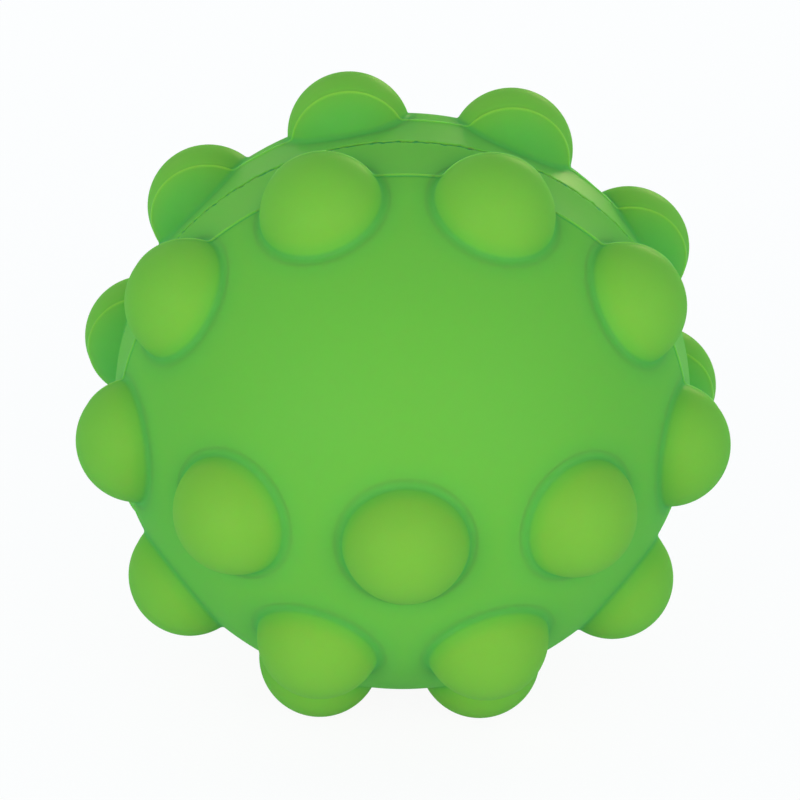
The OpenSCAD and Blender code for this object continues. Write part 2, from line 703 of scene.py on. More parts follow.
@dataclass(frozen=True)
class HalfSkin:
    """The skin of one half between its bumps, in the half's own frame, with its pole along +Z.

    A point lies at R(h) d, d being its unit direction and h its height above the seam. R is the skin's
    radius with the mould line's lift and, at the seam, the round of the edge. The points are laid out by
    d / (1 + d_z), which keeps circles round, and joined into triangles there.

    Fields:
        sizes: The ball's sizes.
        line: The mould line.
        profile: The bumps' outline.
        seats: The bumps' places.
        bumps: Each bump's surface, by its name.
        wall: Thickness of the wall.
        pitch: Distance between the points of the open skin.
        edge_height: Height of the half's edge above the middle of the seam.
        edge_round: Radius of the edge's round.
        rim_depth: How far the glued rim stands in from the wall.
        rim_top: Height above the seam at which the rim stands in half as far.
        rim_blend: Height over which the rim runs out into the wall.
        edge_count: Points round the edge.
        ragged: Height of the largest nicks in the edge.
        ragged_fade: Height over the edge at which a nick has fallen to a third.
        ragged_waves: The waves round the edge that make the nicks.
        seed: Seed of the nicks' places.
        edge_rows: Heights over the edge at which the surface has a row of points.
        hole_steps: Distances from a hole's edge at which it has a ring of points.
        hole_room: Distance of the open skin's points from the last such ring, in pitches.
        edge_room: Their distance from the last row of the edge, in pitches.
        row_room: Distance of the mould line's points from a hole's last ring, in the line's pitches.
    """

    sizes: BallSizes
    line: MouldLine
    profile: BumpProfile
    seats: tuple[BumpSeat, ...]
    bumps: dict[str, BumpSkin]
    wall: float = 2.2 * MM
    pitch: float = 0.62 * MM
    edge_height: float = 0.15 * MM
    edge_round: float = 0.22 * MM
    rim_depth: float = 1.2 * MM
    rim_top: float = 1.95 * MM
    rim_blend: float = 0.4 * MM
    edge_count: int = 840
    ragged: float = 0.6 * MM
    ragged_fade: float = 0.9 * MM
    ragged_waves: tuple[int, ...] = (61, 97, 131, 173, 211)
    seed: int = 3
    edge_rows: tuple[float, ...] = tuple(MM * y for y in (0, 0.01, 0.035, 0.075, 0.13, 0.22, 0.34, 0.6, 1.0))
    hole_steps: tuple[float, ...] = (0.1 * MM, 0.36 * MM)
    hole_room: float = 0.45
    edge_room: float = 0.5
    row_room: float = 0.4

    def radius(self, height: np.ndarray) -> np.ndarray:
        """R(h) = skin_r + lift(h) - e + sqrt(e^2 - (e - y)^2), e being the edge's round.

        y is the height over the edge, up to e.

        Args:
            height: Heights h above the seam.

        Returns:
            R at each.
        """
        y = np.clip(height - self.edge_height, 0, self.edge_round)
        inset = self.edge_round - np.sqrt(np.maximum(0, self.edge_round**2 - (self.edge_round - y) ** 2))
        return self.sizes.skin_r + self.line.lift(height) - inset

    def from_holes(self, d: np.ndarray) -> np.ndarray:
        """The way along the skin from the edge of the nearest bump's hole.

        Args:
            d: Unit directions.

        Returns:
            The way at each, which is negative over a hole.
        """
        axes = np.stack([seat.axis for seat in self.seats])
        nearest = np.arccos(np.clip((d @ axes.T).max(axis=1), -1, 1))
        return self.sizes.skin_r * (nearest - self.profile.flange_angle)

    def hole_ring(self, seat: BumpSeat, beyond: float) -> np.ndarray:
        """Points of the skin round a bump's hole, in the half's frame.

        Args:
            seat: The bump's place.
            beyond: The way past the hole's edge.

        Returns:
            n by 3 points, which are the bump's own where beyond is zero.
        """
        bump = self.bumps[seat.name]
        way = self.profile.length + beyond
        turns = bump.ring(way)
        return bump.place(np.full(len(turns), way), turns) @ seat.turn.T

    def row_directions(self, height: float | np.ndarray, count: int) -> np.ndarray:
        """Directions of the skin at even turns round the pole axis.

        Args:
            height: Height above the seam, one for all or one for each.
            count: How many.

        Returns:
            count by 3 unit directions.
        """
        share = np.broadcast_to(height / self.sizes.skin_r, (count,))
        turn = 2 * math.pi * np.arange(count) / count
        level = np.sqrt(1 - share**2)
        return np.stack([level * np.sin(turn), level * np.cos(turn), share], axis=1)

    def edge_row(self, y: float) -> np.ndarray:
        """Points of the skin at about the height y over the seam's edge, which is a little ragged.

        The height is y + a v^3 e^(-y / c), with a ragged, c ragged_fade and v from 0 to 1 round the ring.

        Args:
            y: Height over the smooth edge.

        Returns:
            edge_count by 3 points.
        """
        turn = 2 * math.pi * np.arange(self.edge_count) / self.edge_count
        v = 0.5 + 0.5 * wave(turn, np.random.default_rng(self.seed), self.ragged_waves)
        raised = self.ragged * v**3 * math.exp(-y / self.ragged_fade)
        d = self.row_directions(self.edge_height + y + raised, self.edge_count)
        return d * self.radius(np.full(self.edge_count, self.edge_height + y))[:, None]

    def on_skin(self, d: np.ndarray) -> np.ndarray:
        """The points R(h) d of unit directions d."""
        return d * self.radius(d[:, 2] * self.sizes.skin_r)[:, None]

    def field_directions(self) -> np.ndarray:
        """Even directions over the open skin, from the spiral z = 1 - (i + 1/2) / n, turn = i golden angle.

        Returns:
            Unit directions, one for each point.
        """
        count = round(2 * math.pi * self.sizes.skin_r**2 / (HONEYCOMB_ROOM * self.pitch**2))
        i = np.arange(count)
        z = 1 - (i + 0.5) / count
        level = np.sqrt(1 - z**2)
        d = np.stack([level * np.cos(i * GOLDEN_ANGLE), level * np.sin(i * GOLDEN_ANGLE), z], axis=1)
        height = z * self.sizes.skin_r
        open_skin = self.from_holes(d) > self.hole_steps[-1] + self.hole_room * self.pitch
        above_edge = height > self.edge_height + self.edge_rows[-1] + self.edge_room * self.pitch
        return d[open_skin & above_edge & ~self.line.beside(height)]

    def build(self) -> Surface:
        """Lays out the rows, the rings and the open skin, and joins all their points.

        Returns:
            The skin, with the seam's edge as its first loop and the bump holes as the others.
        """
        gathered = PointList()
        loops = [gathered.add(self.edge_row(y)) for y in self.edge_rows][:1]
        for seat in self.seats:
            loops.append(gathered.add(self.hole_ring(seat, 0.0)))
            for step in self.hole_steps:
                gathered.add(self.hole_ring(seat, step))
        count = round(2 * math.pi * self.sizes.skin_r / self.line.pitch)
        room = self.hole_steps[-1] + self.row_room * self.line.pitch
        for row in self.line.rows:
            d = self.row_directions(self.line.height + row, count)
            gathered.add(self.on_skin(d[self.from_holes(d) > room]))
        gathered.add(self.on_skin(self.field_directions()))
        points = np.concatenate(gathered.parts)
        d = unit(points)
        triangles = triangulate(d[:, :2] / (1 + d[:, 2:]), loops, loops[1:])
        triangles = face_outwards(points, triangles, np.zeros(3))
        root = self.profile.root_middle - self.profile.length - self.from_holes(d)
        return Surface(
            points=points,
            triangles=triangles,
            loops=[left_round(triangles, loop) for loop in loops],
            root_mm=root / MM,
            seam_mm=points[:, 2] / MM,
        )

    def inside(self, points: np.ndarray) -> np.ndarray:
        """The inner side of the wall, with the glued rim standing in from it by the seam.

        The inner radius is skin_r - wall - rim_depth g(h), g falling smoothly from 1 to 0 over rim_blend,
        with its middle at rim_top.

        Args:
            points: Outer points.

        Returns:
            Their inner places, straight towards the ball's centre.
        """
        d = unit(points)
        t = np.clip((self.rim_top - points[:, 2]) / self.rim_blend + 0.5, 0, 1)
        inner_r = self.sizes.skin_r - self.wall - self.rim_depth * t * t * (3 - 2 * t)
        inner = d * inner_r[:, None]
        inner[:, 2] = np.maximum(inner[:, 2], np.minimum(points[:, 2], self.edge_height))
        return inner


@dataclass(frozen=True)
class SeamBead:
    """The thin bead of silicone adhesive that shows in the seam, in the front half's frame.

    Its outer face lies at r(f) = skin_r - sunk + w(f), w a sum of sines of the turn f, with a few blobs
    that stand out, and its edges waver in height in the same way. Each section is round outside.

    Fields:
        sizes: The ball's sizes.
        around: Sections round the ring.
        inner_r: Radius of its hidden inside.
        half_height: Half its mean height.
        sunk: How far its face lies below the skin, on the mean.
        waver: How far the face wavers.
        face_waves, top_waves, bottom_waves: The waves round the ring of its face and of its two edges.
        edge_waver: How far each edge wavers.
        blobs: How many blobs it has.
        blob_rise: How far the largest blob stands out.
        least_blob: The smallest blob's share of that.
        blob_width: Distance from a blob's middle at which it has fallen to a third.
        bulge: How far a section's middle stands out over its edges.
        across: The section's points on the outside, as shares of its half height.
        inner_share: The share of the height that the bead has at its hidden inside.
        seed: Seed of the waves and the blobs.
    """

    sizes: BallSizes
    around: int = 1440
    inner_r: float = 32.6 * MM
    half_height: float = 0.46 * MM
    sunk: float = 0.24 * MM
    waver: float = 0.2 * MM
    face_waves: tuple[int, ...] = (31, 47, 83, 131, 211)
    top_waves: tuple[int, ...] = (37, 59, 97, 149, 233)
    bottom_waves: tuple[int, ...] = (29, 53, 89, 151, 239)
    edge_waver: float = 0.06 * MM
    blobs: int = 60
    blob_rise: float = 0.16 * MM
    least_blob: float = 0.4
    blob_width: float = 0.28 * MM
    bulge: float = 0.09 * MM
    across: tuple[float, ...] = (-1.0, -0.75, -0.4, 0.0, 0.4, 0.75, 1.0)
    inner_share: float = 0.5
    seed: int = 7

    def build(self) -> tuple[np.ndarray, np.ndarray]:
        """The bead as a closed ring of a nine-point section.

        Returns:
            Points and four-sided faces.
        """
        rng = np.random.default_rng(self.seed)
        f = 2 * math.pi * np.arange(self.around) / self.around
        rise = self.waver * wave(f, rng, self.face_waves)
        centres = rng.uniform(0, 2 * math.pi, self.blobs)
        for centre, size in zip(centres, rng.uniform(self.least_blob, 1, self.blobs)):
            away = np.angle(np.exp(1j * (f - centre)))
            rise += self.blob_rise * size * np.exp(-((away * self.sizes.skin_r / self.blob_width) ** 2))
        outer = self.sizes.skin_r - self.sunk + rise
        above = self.half_height + self.edge_waver * wave(f, rng, self.top_waves)
        below = self.half_height + self.edge_waver * wave(f, rng, self.bottom_waves)
        across = np.array(self.across)
        heights = np.where(across > 0, above[:, None], below[:, None]) * across
        radii = outer[:, None] - self.bulge + self.bulge * (1 - across**2)
        inner = np.full((self.around, 1), self.inner_r)
        radii = np.concatenate([inner, radii, inner], axis=1)
        ends = heights[:, [0, -1]] * self.inner_share
        heights = np.concatenate([ends[:, :1], heights, ends[:, 1:]], axis=1)
        points = np.stack([radii * np.sin(f)[:, None], radii * np.cos(f)[:, None], heights], axis=2)
        section = radii.shape[1]
        i, k = np.meshgrid(np.arange(self.around), np.arange(section), indexing="ij")
        i2, k2 = (i + 1) % self.around, (k + 1) % section
        faces = np.stack([i * section + k, i * section + k2, i2 * section + k2, i2 * section + k], axis=2)
        return points.reshape(-1, 3), faces.reshape(-1, 4)


# ---------------------------------------------------------------------------------------------
# Finishes


def new_group(name: str, inputs: dict[str, str], outputs: dict[str, str]) -> bpy.types.ShaderNodeTree:
    """An empty shader node group with the named sockets.

    Args:
        name: The group's name.
        inputs: Socket type by input name.
        outputs: Socket type by output name.

    Returns:
        The group.
    """
    group = bpy.data.node_groups.new(name, "ShaderNodeTree")
    for socket, kind in inputs.items():
        group.interface.new_socket(socket, in_out="INPUT", socket_type=kind)
    for socket, kind in outputs.items():
        group.interface.new_socket(socket, in_out="OUTPUT", socket_type=kind)
    return group


FLOAT, COLOUR, VECTOR = "NodeSocketFloat", "NodeSocketColor", "NodeSocketVector"


@dataclass
class Wiring:
    """A node tree with short ways to add and join nodes.

    Fields:
        tree: The node tree.
    """

    tree: bpy.types.ShaderNodeTree

    @classmethod
    def of(cls, owner: bpy.types.Material | bpy.types.World) -> Wiring:
        """Empties the node tree of a material or of the world.

        Args:
            owner: The material or the world.

        Returns:
            The wiring of its tree.
        """
        owner.use_nodes = True
        owner.node_tree.nodes.clear()
        return cls(owner.node_tree)

    def node(self, kind: str, **settings: object) -> bpy.types.Node:
        """Adds a node.

        Args:
            kind: Its type.
            settings: Its properties by name.

        Returns:
            The node.
        """
        made = self.tree.nodes.new(kind)
        for setting, value in settings.items():
            setattr(made, setting, value)
        return made

    def feed(self, socket: bpy.types.NodeSocket, value: object) -> None:
        """Joins a socket to another, or sets it to a value.

        Args:
            socket: The input.
            value: The output that it gets, or its value.
        """
        if isinstance(value, bpy.types.NodeSocket):
            self.tree.links.new(value, socket)
        else:
            socket.default_value = value

    def placed(self, group: bpy.types.ShaderNodeTree, **inputs: object) -> bpy.types.Node:
        """Adds a node of a shared group.

        Args:
            group: The group.
            inputs: Values or outputs of other nodes, by the names of its inputs.

        Returns:
            The node.
        """
        made = self.node("ShaderNodeGroup", node_tree=group)
        for socket, value in inputs.items():
            self.feed(made.inputs[socket], value)
        return made

    def math(self, operation: str, a: object, b: object = 0.0, c: object = 0.0) -> bpy.types.NodeSocket:
        """Adds a sum.

        Args:
            operation: Which sum it is.
            a, b, c: Its numbers, or outputs of other nodes.

        Returns:
            Its result.
        """
        made = self.node("ShaderNodeMath", operation=operation)
        for socket, value in zip(made.inputs, (a, b, c)):
            self.feed(socket, value)
        return made.outputs[0]

    def rise(self, value: object, span: Span) -> bpy.types.NodeSocket:
        """Goes from 0 to 1, eased, while a value crosses a span.

        Args:
            value: The value.
            span: The span.

        Returns:
            The result.
        """
        made = self.node("ShaderNodeMapRange", interpolation_type="SMOOTHSTEP")
        for socket, number in (("Value", value), ("From Min", span[0]), ("From Max", span[1])):
            self.feed(made.inputs[socket], number)
        return made.outputs["Result"]

    def fall(self, value: object, span: Span) -> bpy.types.NodeSocket:
        """1 less the rise over a span."""
        return self.math("SUBTRACT", 1.0, self.rise(value, span))

    def off(self, value: object, centre: float) -> bpy.types.NodeSocket:
        """The distance of a value from centre."""
        return self.math("ABSOLUTE", self.math("SUBTRACT", value, centre))

    def blend_colour(self, share: object, a: object, b: object) -> bpy.types.NodeSocket:
        """Mixes two colours.

        Args:
            share: The share of b.
            a, b: The colours.

        Returns:
            The mix.
        """
        made = self.node("ShaderNodeMix", data_type="RGBA")
        for socket, value in (("Factor", share), ("A", a), ("B", b)):
            self.feed(made.inputs[socket], value)
        return made.outputs["Result"]

    def blend_shader(self, share: object, a: bpy.types.NodeSocket, b: bpy.types.NodeSocket) -> bpy.types.NodeSocket:
        """Mixes two shaders.

        Args:
            share: The share of b.
            a, b: The shaders' outputs.

        Returns:
            The mix.
        """
        made = self.node("ShaderNodeMixShader")
        for socket, value in zip(made.inputs, (share, a, b)):
            self.feed(socket, value)
        return made.outputs[0]

    def noise(self, place: object, scale: object, detail: float = 2.0) -> bpy.types.NodeSocket:
        """Adds a soft noise from 0 to 1.

        Args:
            place: Where it is read.
            scale: Its size, in waves per metre.
            detail: How many finer noises it has.

        Returns:
            The noise.
        """
        made = self.node("ShaderNodeTexNoise")
        for socket, value in (("Vector", place), ("Scale", scale), ("Detail", detail)):
            self.feed(made.inputs[socket], value)
        return made.outputs["Fac"]

    def seen(self) -> bpy.types.NodeSocket:
        """Tells what is looked at from what is only lit.

        Returns:
            1 for the camera's rays, also by way of gloss and glass, and 0 for all others.
        """
        path = self.node("ShaderNodeLightPath")
        seen = self.math("MAXIMUM", path.outputs["Is Camera Ray"], path.outputs["Is Glossy Ray"])
        return self.math("MAXIMUM", seen, path.outputs["Is Transmission Ray"])


@dataclass(frozen=True)
class ToneWithPaintedLight:
    """The silicone's colours by place: plain skin, crowns painted lighter and yellower as lit crowns look,
    painted shade round the bumps' roots, below the mould line and in its fine hollow, and a painted
    highlight along the line.

    Lengths are in millimetres. A way is the way up the bump from the middle of its root, negative on
    the skin, and a height is the height above the seam.

    Fields:
        bump_start: Ways over which the skin becomes the bump.
        line_height: The mould line's height.
        ridge_fade: Distances from the line over which its mask, and so its painted highlight, fades.
            line_on_skin, line_on_bump: Share of the line's painted highlight on the skin and on a bump.
        crown_rise: Ways over which the crowns' painted light sets in.
        crown_past_line: Heights over which it sets in.
        crown_to_pole: Heights over which it grows from low_crown to its whole.
        low_crown: Its share on the bumps by the seam, which are painted less lit.
        crease_reach: How far from the root the painted shade reaches on the skin.
        crease_uphill: How many times sooner it ends on the bump.
        painted_shade: The painted shade's share of its colour at the root.
        wide_root_shade_reach: How far from the root the wider, fainter painted shade reaches.
        wide_root_shade_top: The way at which that shade ends on the bump.
        wide_root_shade: Its share of the shade colour.
        under_line: Heights over which the painted shade below the line fades.
        under_rise: Ways over which it sets in.
        under: Its share of the shade colour.
        groove_off: How far the fine hollow lies above the line.
        groove_fade: Distances from it over which its painted shade fades.
        groove: Its share of the shade colour.
        cloud_scale: Size of the clouds in the tone, in waves per metre.
        bare_below: Heights over which the bare strip beside the seam ends.
        bare_beside: Ways over which it ends.
    """

    bump_start: Span = (0.0, 1.0)
    line_height: float = MouldLine.height / MM
    ridge_fade: Span = (0.08, 0.26)
    line_on_skin: float = 0.35
    line_on_bump: float = 0.8
    crown_rise: Span = (0.1, 2.6)
    crown_past_line: Span = (4.5, 10.5)
    crown_to_pole: Span = (12.0, 26.0)
    low_crown: float = 0.6
    crease_reach: float = 1.8
    crease_uphill: float = 2.6
    painted_shade: float = 0.55
    wide_root_shade_reach: float = 4.0
    wide_root_shade_top: float = 0.4
    wide_root_shade: float = 0.25
    under_line: Span = (4.0, 8.4)
    under_rise: Span = (-0.6, 0.2)
    under: float = 0.5
    groove_off: float = 0.28
    groove_fade: Span = (0.05, 0.2)
    groove: float = 0.8
    cloud_scale: float = 70.0
    bare_below: Span = (7.0, 7.5)
    bare_beside: Span = (-2.0, 0.0)

    def make(self) -> bpy.types.ShaderNodeTree:
        """The group, whose Root is the way and whose Strip is 1 on the bare strip beside the seam.

        Returns:
            The group.
        """
        group = new_group(
            "tone_with_painted_light",
            {"Place": VECTOR, "Root": FLOAT, "Height": FLOAT, "Skin": COLOUR, "Crown": COLOUR, "Crease": COLOUR,
             "Line": COLOUR, "Cloud": FLOAT},
            {"Colour": COLOUR, "Strip": FLOAT},
        )
        w = Wiring(group)
        given, result = w.node("NodeGroupInput"), w.node("NodeGroupOutput")
        root, height = given.outputs["Root"], given.outputs["Height"]
        on_bump = w.rise(root, self.bump_start)
        ridge = w.fall(w.off(height, self.line_height), self.ridge_fade)
        # Painted light: the crowns lighter and yellower, as lit crowns look, less so on the bumps by the seam
        past_line = w.math("MAXIMUM", w.rise(height, self.crown_past_line), ridge)
        crown = w.math("MULTIPLY", w.rise(root, self.crown_rise), past_line)
        by_height = w.math("MULTIPLY_ADD", w.rise(height, self.crown_to_pole), 1 - self.low_crown, self.low_crown)
        crown = w.math("MULTIPLY", crown, by_height)
        # Painted shade in the hollow round each bump's root
        past_root = w.math("MULTIPLY", root, -1.0)
        near = w.math("MAXIMUM", w.math("MULTIPLY", root, self.crease_uphill), past_root)
        painted_shade = w.math("MULTIPLY", w.fall(near, (0.0, self.crease_reach)), self.painted_shade)
        # Painted shade, fainter, over a wider ring round each root
        wide_root_shade = w.fall(w.math("ABSOLUTE", past_root), (0.0, self.wide_root_shade_reach))
        wide_root_shade = w.math("MULTIPLY", wide_root_shade, w.math("LESS_THAN", root, self.wide_root_shade_top))
        painted_shade = w.math("MAXIMUM", painted_shade, w.math("MULTIPLY", wide_root_shade, self.wide_root_shade))
        # Painted shade on the bumps below the mould line, on their side towards the seam
        under = w.math("SUBTRACT", 1.0, w.math("MAXIMUM", w.rise(height, self.under_line), ridge))
        under = w.math("MULTIPLY", under, w.rise(root, self.under_rise))
        painted_shade = w.math("MAXIMUM", painted_shade, w.math("MULTIPLY", under, self.under))
        # Painted shade in the fine hollow beside the mould line, on the skin only
        groove = w.fall(w.off(height, self.line_height + self.groove_off), self.groove_fade)
        groove = w.math("MULTIPLY", groove, w.math("SUBTRACT", 1.0, on_bump))
        painted_shade = w.math("MAXIMUM", painted_shade, w.math("MULTIPLY", groove, self.groove))
        cloud = w.noise(given.outputs["Place"], self.cloud_scale)
        cloud = w.math("MULTIPLY", w.math("SUBTRACT", cloud, 0.5), given.outputs["Cloud"])
        tone = w.blend_colour(w.math("ADD", crown, cloud), given.outputs["Skin"], given.outputs["Crown"])
        tone = w.blend_colour(painted_shade, tone, given.outputs["Crease"])
        # Painted highlight along the mould line's ridge
        share = w.math("MULTIPLY_ADD", on_bump, self.line_on_bump - self.line_on_skin, self.line_on_skin)
        tone = w.blend_colour(w.math("MULTIPLY", ridge, share), tone, given.outputs["Line"])
        w.feed(result.inputs["Colour"], tone)
        strip = w.math("MULTIPLY", w.fall(height, self.bare_below), w.fall(root, self.bare_beside))
        w.feed(result.inputs["Strip"], strip)
        return group


@dataclass(frozen=True)
class SatinGrain:
    """The fine grain that a mould's etched steel leaves, with a broad unevenness under it.

    Fields:
        broad_scale: Size of the broad unevenness, in waves per metre.
        fine_detail: How many finer noises the fine grain has.
    """

    broad_scale: float = 160.0
    fine_detail: float = 3.0

    def make(self) -> bpy.types.ShaderNodeTree:
        """The group, which gives a roughness and a height.

        Returns:
            The group.
        """
        group = new_group(
            "satin_grain",
            {"Place": VECTOR, "Roughness": FLOAT, "Spread": FLOAT, "Grain": FLOAT},
            {"Roughness": FLOAT, "Height": FLOAT},
        )
        w = Wiring(group)
        given, result = w.node("NodeGroupInput"), w.node("NodeGroupOutput")
        broad = w.noise(given.outputs["Place"], self.broad_scale)
        fine = w.noise(given.outputs["Place"], given.outputs["Grain"], self.fine_detail)
        both = w.math("ADD", w.math("MULTIPLY", broad, 0.5), w.math("MULTIPLY", fine, 0.5))
        uneven = w.math("SUBTRACT", both, 0.5)
        rough = w.math("MULTIPLY_ADD", uneven, given.outputs["Spread"], given.outputs["Roughness"])
        w.feed(result.inputs["Roughness"], rough)
        w.feed(result.inputs["Height"], fine)
        return group


@dataclass(frozen=True)
class SiliconeFinish:
    """Satin silicone, coloured through, that light enters a little way.

    Fields:
        name: The material's name.
        skin, crown, crease, line: Colours of the plain skin, of the crowns' painted light, of the painted
        shade and of the mould line's painted highlight.
        roughness: Mean roughness.
        spread: How far the roughness varies.
        grain: Size of the grain, in waves per metre.
        grain_height: Height of the grain, in metres.
        depth: How far green light enters, in metres.
        reach: The shares of that way that red, green and blue light get, as the pigment stops them.
        enters: The share of light that enters.
        cloud: How far the tone varies over the skin.
        film: Strength of the thin film of silicone oil that gives the surface its satin sheen.
        strip_film: How much stronger it is on the strips beside the seam, which the trimming left smoother.
        film_roughness: Roughness of that film.
        film_ior: How strongly it bends light.
    """

    name: str
    skin: Rgb
    crown: Rgb
    painted_shade: Rgb
    line: Rgb
    roughness: float = 0.52
    spread: float = 0.14
    grain: float = 5200.0
    grain_height: float = 0.004 * MM
    depth: float = 1.6 * MM
    reach: Rgb = (0.35, 1.0, 0.35)
    enters: float = 0.6
    cloud: float = 0.12
    film: float = 0.06
    strip_film: float = 0.08
    film_roughness: float = 0.36
    film_ior: float = 1.41

    def make(self, tone: bpy.types.ShaderNodeTree, grain: bpy.types.ShaderNodeTree) -> bpy.types.Material:
        """Builds the material from the two shared groups and one Principled shader.

        Args:
            tone: The group that ToneWithPaintedLight makes.
            grain: The group that SatinGrain makes.

        Returns:
            The material.
        """
        material = bpy.data.materials.new(self.name)
        w = Wiring.of(material)
        place = w.node("ShaderNodeTexCoord").outputs["Object"]
        toned = w.placed(
            tone,
            Place=place,
            Root=w.node("ShaderNodeAttribute", attribute_name=ROOT_MM).outputs["Fac"],
            Height=w.node("ShaderNodeAttribute", attribute_name=SEAM_MM).outputs["Fac"],
            Skin=(*self.skin, 1.0),
            Crown=(*self.crown, 1.0),
            Crease=(*self.painted_shade, 1.0),
            Line=(*self.line, 1.0),
            Cloud=self.cloud,
        )
        grained = w.placed(grain, Place=place, Roughness=self.roughness, Spread=self.spread, Grain=self.grain)
        bump = w.node("ShaderNodeBump")
        w.feed(bump.inputs["Strength"], 1.0)
        w.feed(bump.inputs["Distance"], self.grain_height)
        w.feed(bump.inputs["Height"], grained.outputs["Height"])
        shader = w.node("ShaderNodeBsdfPrincipled")
        for socket, value in (
            ("Base Color", toned.outputs["Colour"]),
            ("Roughness", grained.outputs["Roughness"]),
            ("Normal", bump.outputs["Normal"]),
            ("Specular IOR Level", 0.0),
            ("Coat Weight", w.math("MULTIPLY_ADD", toned.outputs["Strip"], self.strip_film, self.film)),
            ("Coat Roughness", self.film_roughness),
            ("Coat IOR", self.film_ior),
            ("Subsurface Weight", self.enters),
            ("Subsurface Radius", self.reach),
            ("Subsurface Scale", self.depth),
        ):
            w.feed(shader.inputs[socket], value)
        w.feed(w.node("ShaderNodeOutputMaterial").inputs["Surface"], shader.outputs["BSDF"])
        return material


SHELL_FINISH = SiliconeFinish(
    name="shell_satin_green",
    skin=(0.163, 0.465, 0.052),
    # The crowns' painted light
    crown=(0.216, 0.463, 0.046),
    # The colour of the painted shade
    painted_shade=(0.072, 0.40, 0.068),
    # The mould line's painted highlight
    line=(0.26, 0.54, 0.055),
)
BUMP_FINISH = replace(SHELL_FINISH, name="bump_satin_green")
# The adhesive's own green, made darker still as painted shade for the sunk seam
BOND_GREEN_WITH_PAINTED_SHADE = (0.050, 0.32, 0.050)
BOND_FINISH = SiliconeFinish(
    name="bond_glossy_green",
    skin=BOND_GREEN_WITH_PAINTED_SHADE,
    crown=BOND_GREEN_WITH_PAINTED_SHADE,
    painted_shade=BOND_GREEN_WITH_PAINTED_SHADE,
    line=BOND_GREEN_WITH_PAINTED_SHADE,
    roughness=0.3,
    spread=0.2,
    grain=2600.0,
    grain_height=0.01 * MM,
)


@dataclass(frozen=True)
class FloorFinish:
    """A pale floor that shows as white and keeps the ball's soft shadow, and that isn't seen from below.

    Fields:
        colour: The floor's own colour, by which it lights the ball from below.
        glow: How much of the white is the floor's own in the picture, and so how faint the shadow is.
    """

    colour: Rgb = (0.34, 0.68, 0.86)
    glow: float = 0.93

    def make(self) -> bpy.types.Material:
        """Builds the floor's material.

        Returns:
            The material.
        """
        material = bpy.data.materials.new("pale_floor")
        w = Wiring.of(material)
        diffuse = w.node("ShaderNodeBsdfDiffuse")
        w.feed(diffuse.inputs["Color"], (*self.colour, 1.0))
        faint = w.node("ShaderNodeBsdfDiffuse")
        share = 1 - self.glow
        w.feed(faint.inputs["Color"], (share, share, share, 1.0))
        white = w.node("ShaderNodeEmission")
        w.feed(white.inputs["Strength"], self.glow)
        shown = w.node("ShaderNodeAddShader")
        w.feed(shown.inputs[0], faint.outputs[0])
        w.feed(shown.inputs[1], white.outputs[0])
        top = w.blend_shader(w.seen(), diffuse.outputs[0], shown.outputs[0])
        backfacing = w.node("ShaderNodeNewGeometry").outputs["Backfacing"]
        through = w.blend_shader(backfacing, top, w.node("ShaderNodeBsdfTransparent").outputs[0])
        w.feed(w.node("ShaderNodeOutputMaterial").inputs["Surface"], through)
        return material


# ---------------------------------------------------------------------------------------------
# Sub-assemblies


